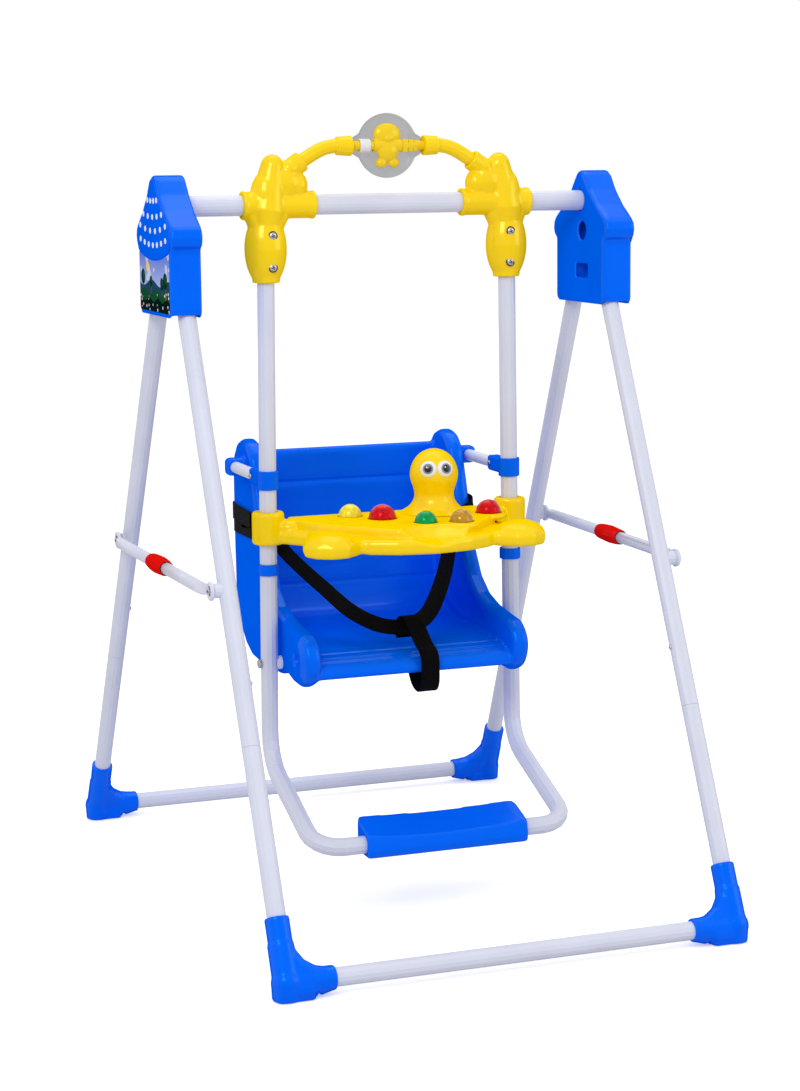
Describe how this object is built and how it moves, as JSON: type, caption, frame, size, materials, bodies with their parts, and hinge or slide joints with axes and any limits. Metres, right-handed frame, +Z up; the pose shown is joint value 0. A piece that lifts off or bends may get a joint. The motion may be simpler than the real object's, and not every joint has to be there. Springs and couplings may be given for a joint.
{
  "type": "baby swing set",
  "caption": "Folding A-frame baby swing with a hanging moulded seat, play tray, footrest and a spinning clear toy on an arch above the crossbar.",
  "frame": {"origin": "centre of the feet's footprint, on the floor", "axes": "+X to the right along the crossbar seen from the front, +Y to the back, +Z up; the child faces -Y"},
  "size_m": [0.8072, 1.0884, 1.2415],
  "materials": {
    "blue_plastic": "moulded gloss",
    "yellow_plastic": "moulded gloss",
    "white_paint": "powder coat, pale lavender white",
    "red_plastic": "moulded gloss",
    "green_plastic": "moulded gloss",
    "amber_plastic": "moulded gloss, see-through",
    "white_plastic": "satin",
    "black_webbing": "woven",
    "steel_plated": "bright plated",
    "clear_plastic": "clear moulded plastic"
  },
  "bodies": {
    "stand_top": {"house_left": "blue_plastic", "house_right": "blue_plastic", "crossbar": "white_paint", "pin_front_left": "steel_plated", "pin_front_right": "steel_plated", "pin_rear_left": "steel_plated", "pin_rear_right": "steel_plated"},
    "front_frame": {"leg_upper_front_left": "white_paint", "leg_upper_front_right": "white_paint", "leg_lower_front_left": "white_paint", "leg_lower_front_right": "white_paint", "foot_front_left": "blue_plastic", "foot_front_right": "blue_plastic", "floor_bar_front": "white_paint"},
    "rear_frame": {"leg_upper_rear_left": "white_paint", "leg_upper_rear_right": "white_paint", "leg_lower_rear_left": "white_paint", "leg_lower_rear_right": "white_paint", "foot_rear_left": "blue_plastic", "foot_rear_right": "blue_plastic", "floor_bar_rear": "white_paint"},
    "left_brace_front": {"brace_front_left": "white_paint"},
    "left_brace_rear": {"brace_rear_left": "white_paint"},
    "left_sleeve": {"brace_sleeve_left": "red_plastic"},
    "right_brace_front": {"brace_front_right": "white_paint"},
    "right_brace_rear": {"brace_rear_right": "white_paint"},
    "right_sleeve": {"brace_sleeve_right": "red_plastic"},
    "swing": {"hanger_left": "yellow_plastic", "hanger_right": "yellow_plastic", "arch_left": "yellow_plastic", "arch_right": "yellow_plastic", "spindle": "yellow_plastic", "swing_tube_left": "white_paint", "swing_tube_right": "white_paint", "footrest": "blue_plastic", "clamp_left": "blue_plastic", "clamp_right": "blue_plastic", "stop_ring_left": "blue_plastic", "stop_ring_right": "blue_plastic", "link_left": "white_paint", "link_right": "white_paint", "seat": "blue_plastic", "seat_bolt_left": "steel_plated", "seat_bolt_right": "steel_plated", "seat_bush_left": "white_plastic", "seat_bush_right": "white_plastic", "strap_left": "black_webbing", "strap_right": "black_webbing", "strap_rear": "black_webbing", "strap_crotch": "black_webbing"},
    "spinner": {"spinner_case": "clear_plastic", "spinner_bear": "yellow_plastic"},
    "tray": {"tray": "yellow_plastic", "toy_head": "yellow_plastic"},
    "dome_yellow": {"dome_yellow": "yellow_plastic"},
    "dome_red_left": {"dome_red_left": "red_plastic"},
    "dome_green": {"dome_green": "green_plastic"},
    "dome_amber": {"dome_amber": "amber_plastic"},
    "dome_red_right": {"dome_red_right": "red_plastic"}
  },
  "joints": [
    {"name": "fold_front", "type": "hinge", "parent": "stand_top", "child": "front_frame", "pos_m": [0, -0.051, 0.985], "axis": [1, 0, 0], "range_deg": [0, 21]},
    {"name": "fold_rear", "type": "hinge", "parent": "stand_top", "child": "rear_frame", "pos_m": [0, 0.051, 0.985], "axis": [1, 0, 0], "range_deg": [-21, 0]},
    {"name": "brace_front_left", "type": "hinge", "parent": "front_frame", "child": "left_brace_front", "pos_m": [-0.3845, -0.26751, 0.545], "axis": [1, 0, 0], "range_deg": [0, 38.68]},
    {"name": "brace_rear_left", "type": "hinge", "parent": "left_brace_front", "child": "left_brace_rear", "pos_m": [-0.38933, 0.0195, 0.539], "axis": [1, 0, 0], "range_deg": [-141.6, 0]},
    {"name": "sleeve_left", "type": "slide", "parent": "left_brace_front", "child": "left_sleeve", "axis": [0.0168, -0.9999, 0], "range_m": [0, 0.1801]},
    {"name": "brace_front_right", "type": "hinge", "parent": "front_frame", "child": "right_brace_front", "pos_m": [0.3845, -0.26751, 0.545], "axis": [1, 0, 0], "range_deg": [0, 38.68]},
    {"name": "brace_rear_right", "type": "hinge", "parent": "right_brace_front", "child": "right_brace_rear", "pos_m": [0.38933, 0.0195, 0.539], "axis": [1, 0, 0], "range_deg": [-141.6, 0]},
    {"name": "sleeve_right", "type": "slide", "parent": "right_brace_front", "child": "right_sleeve", "axis": [-0.0168, -0.9999, 0], "range_m": [0, 0.1801]},
    {"name": "swing", "type": "hinge", "parent": "stand_top", "child": "swing", "pos_m": [0, 0, 1.1], "axis": [1, 0, 0], "range_deg": [-25, 25]},
    {"name": "spin", "type": "hinge", "parent": "swing", "child": "spinner", "pos_m": [0, 0, 1.1905], "axis": [1, 0, 0], "continuous": true},
    {"name": "tray_height", "type": "slide", "parent": "swing", "child": "tray", "axis": [0, 0, 1], "range_m": [-0.029, 0.033]},
    {"name": "press_yellow", "type": "slide", "parent": "tray", "child": "dome_yellow", "axis": [0, 0, -1], "range_m": [0, 0.0025], "stiffness_N_per_m": 200, "springref_m": -0.002},
    {"name": "press_red_left", "type": "slide", "parent": "tray", "child": "dome_red_left", "axis": [0, 0, -1], "range_m": [0, 0.0025], "stiffness_N_per_m": 200, "springref_m": -0.002},
    {"name": "press_green", "type": "slide", "parent": "tray", "child": "dome_green", "axis": [0, 0, -1], "range_m": [0, 0.0025], "stiffness_N_per_m": 200, "springref_m": -0.002},
    {"name": "press_amber", "type": "slide", "parent": "tray", "child": "dome_amber", "axis": [0, 0, -1], "range_m": [0, 0.0025], "stiffness_N_per_m": 200, "springref_m": -0.002},
    {"name": "press_red_right", "type": "slide", "parent": "tray", "child": "dome_red_right", "axis": [0, 0, -1], "range_m": [0, 0.0025], "stiffness_N_per_m": 200, "springref_m": -0.002}
  ],
  "couplings": [
    {"joint": "fold_rear", "follows": "fold_front", "ratio": -1},
    {"joint": "brace_front_left", "follows": "fold_front", "ratio": 1.8416},
    {"joint": "brace_rear_left", "follows": "fold_front", "ratio": -6.7426},
    {"joint": "sleeve_left", "follows": "fold_front", "m_per_rad": 0.49111},
    {"joint": "brace_front_right", "follows": "fold_front", "ratio": 1.8416},
    {"joint": "brace_rear_right", "follows": "fold_front", "ratio": -6.7426},
    {"joint": "sleeve_right", "follows": "fold_front", "m_per_rad": 0.49111}
  ]
}
